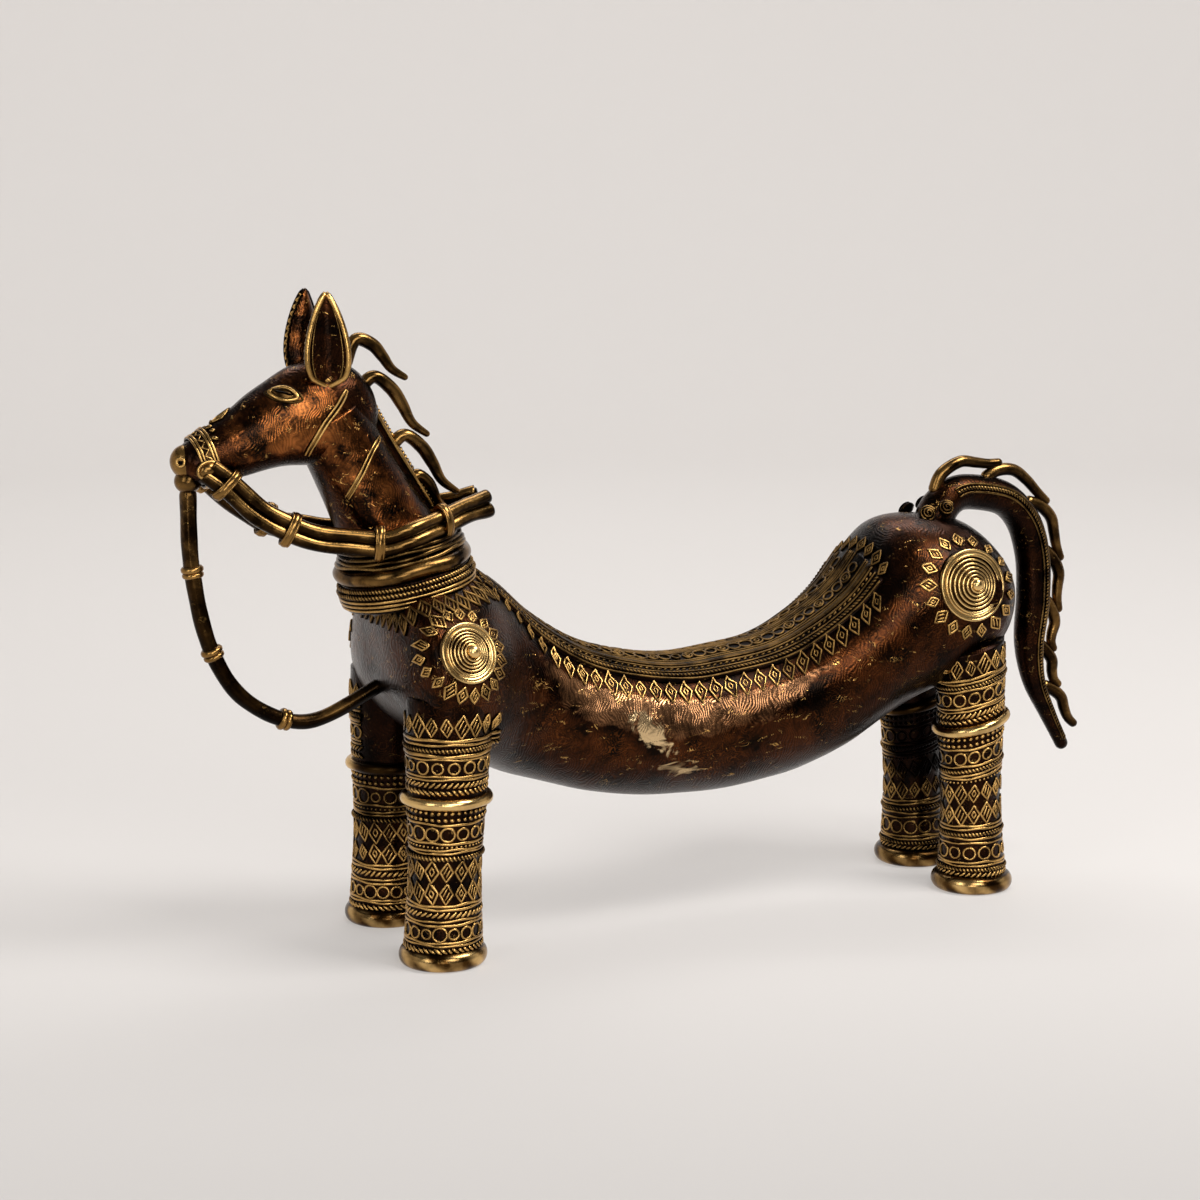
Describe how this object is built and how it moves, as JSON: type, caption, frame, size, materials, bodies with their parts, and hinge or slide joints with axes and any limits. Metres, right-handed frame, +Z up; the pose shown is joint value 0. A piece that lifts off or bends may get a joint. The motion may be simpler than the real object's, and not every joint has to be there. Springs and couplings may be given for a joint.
{
  "type": "horse figurine",
  "caption": "Standing cast bronze horse ornament with reins, lead rope, collar, saddle cloth, spiral rosettes, ringed legs and an arched tail.",
  "frame": {"origin": "on the ground, under the middle of the bounding box", "axes": "-X the way the horse looks, +Y its right side, +Z up"},
  "size_m": [0.376, 0.0932, 0.2397],
  "materials": {
    "dark_bronze": "dark patina",
    "bright_bronze": "worn satin",
    "fired_clay": "rough"
  },
  "bodies": {
    "root": {"bit_knob_left": "bright_bronze", "bit_knob_right": "bright_bronze", "cheek_strap_left": "bright_bronze", "cheek_strap_right": "bright_bronze", "clay_core": "fired_clay", "collar_band": "bright_bronze", "collar_cord": "dark_bronze", "collar_skirt": "dark_bronze", "ear_left": "dark_bronze", "ear_right": "dark_bronze", "eye_left": "bright_bronze", "eye_right": "bright_bronze", "head": "dark_bronze", "hip_rosette_left": "bright_bronze", "hip_rosette_right": "bright_bronze", "knee_ring_front_left": "bright_bronze", "knee_ring_front_right": "bright_bronze", "knee_ring_rear_left": "bright_bronze", "knee_ring_rear_right": "bright_bronze", "lead_ferrule_1": "bright_bronze", "lead_ferrule_2": "bright_bronze", "lead_ferrule_3": "bright_bronze", "lead_rope": "bright_bronze", "leg_front_left": "dark_bronze", "leg_front_right": "dark_bronze", "leg_rear_left": "dark_bronze", "leg_rear_right": "dark_bronze", "mane_crest": "dark_bronze", "mane_lock_1": "bright_bronze", "mane_lock_2": "bright_bronze", "mane_lock_3": "bright_bronze", "mane_lock_4": "bright_bronze", "neck": "dark_bronze", "neck_strap_left": "bright_bronze", "neck_strap_right": "bright_bronze", "noseband": "bright_bronze", "rein_keeper_left_1": "bright_bronze", "rein_keeper_left_2": "bright_bronze", "rein_keeper_left_3": "bright_bronze", "rein_keeper_left_4": "bright_bronze", "rein_keeper_right_1": "bright_bronze", "rein_keeper_right_2": "bright_bronze", "rein_keeper_right_3": "bright_bronze", "rein_keeper_right_4": "bright_bronze", "rein_left": "bright_bronze", "rein_right": "bright_bronze", "saddle_cloth": "dark_bronze", "shoulder_rosette_left": "bright_bronze", "shoulder_rosette_right": "bright_bronze", "tail": "dark_bronze", "tail_strand_1": "bright_bronze", "tail_strand_2": "bright_bronze", "tail_strand_3": "bright_bronze", "tail_strand_4": "bright_bronze", "tail_strand_5": "bright_bronze", "tail_strand_6": "bright_bronze", "tail_strand_7": "bright_bronze", "trunk": "dark_bronze"}
  },
  "joints": []
}
